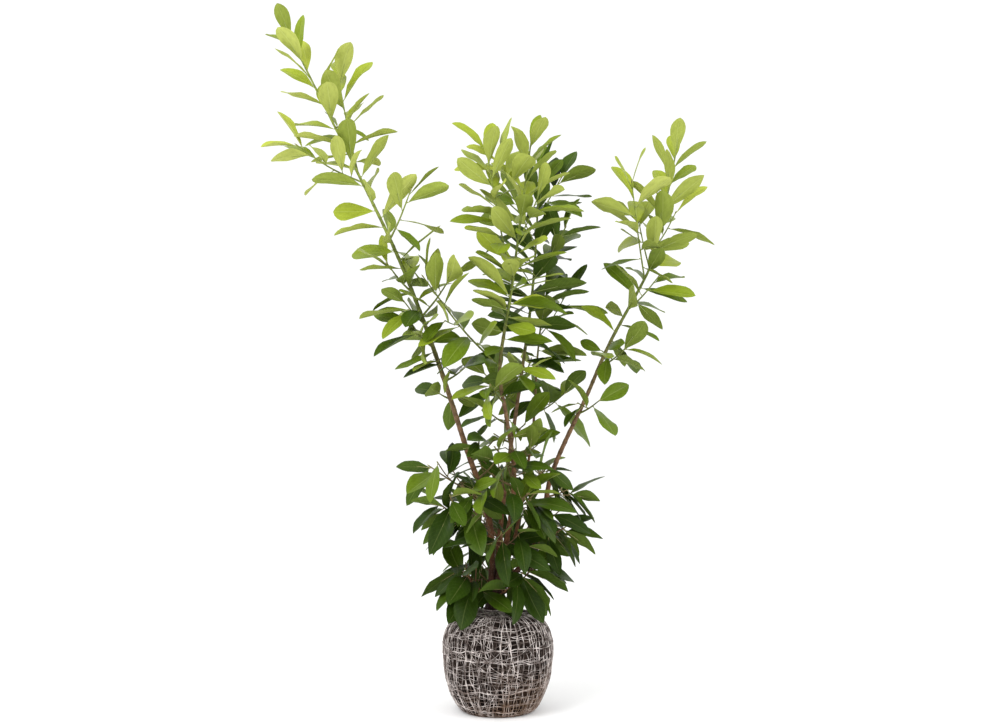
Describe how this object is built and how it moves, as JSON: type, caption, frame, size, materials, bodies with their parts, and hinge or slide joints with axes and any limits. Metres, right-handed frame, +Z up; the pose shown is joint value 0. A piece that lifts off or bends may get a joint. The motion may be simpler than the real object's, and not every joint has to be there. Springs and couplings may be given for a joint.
{
  "type": "balled cherry laurel",
  "caption": "Young evergreen cherry laurel: stems fanned out from one short trunk, glossy broad leaves, standing on a soil root ball held in an open net.",
  "frame": {"origin": "centre of the root ball's flat underside, on the floor", "axes": "+Z straight up; -Y towards the viewer at the front; +X to the viewer's right, the side of the lower of the two spread stems"},
  "size_m": [1.2376, 0.6247, 1.8923],
  "materials": {
    "netted_soil": "matte",
    "trunk_bark": "matte",
    "stem_bark": "satin",
    "young_leaves": "satin",
    "side_leaves": "satin",
    "low_leaves": "satin",
    "net_thread": "matte"
  },
  "bodies": {
    "root": {"back_crown": "young_leaves", "back_stem": "stem_bark", "front_crown": "young_leaves", "front_stem": "stem_bark", "left_crown": "young_leaves", "left_stem": "stem_bark", "low_spray_1": "low_leaves", "low_spray_10": "low_leaves", "low_spray_11": "low_leaves", "low_spray_12": "low_leaves", "low_spray_13": "low_leaves", "low_spray_14": "low_leaves", "low_spray_15": "low_leaves", "low_spray_16": "low_leaves", "low_spray_17": "low_leaves", "low_spray_18": "low_leaves", "low_spray_19": "low_leaves", "low_spray_2": "low_leaves", "low_spray_20": "low_leaves", "low_spray_21": "low_leaves", "low_spray_22": "low_leaves", "low_spray_23": "low_leaves", "low_spray_24": "low_leaves", "low_spray_25": "low_leaves", "low_spray_3": "low_leaves", "low_spray_4": "low_leaves", "low_spray_5": "low_leaves", "low_spray_6": "low_leaves", "low_spray_7": "low_leaves", "low_spray_8": "low_leaves", "low_spray_9": "low_leaves", "right_crown": "young_leaves", "right_stem": "stem_bark", "root_ball": "netted_soil", "side_spray_1": "side_leaves", "side_spray_10": "side_leaves", "side_spray_11": "side_leaves", "side_spray_12": "side_leaves", "side_spray_13": "side_leaves", "side_spray_14": "side_leaves", "side_spray_2": "side_leaves", "side_spray_3": "side_leaves", "side_spray_4": "side_leaves", "side_spray_5": "side_leaves", "side_spray_6": "side_leaves", "side_spray_7": "side_leaves", "side_spray_8": "side_leaves", "side_spray_9": "side_leaves", "slender_crown": "young_leaves", "slender_stem": "stem_bark", "trunk": "trunk_bark"}
  },
  "joints": []
}
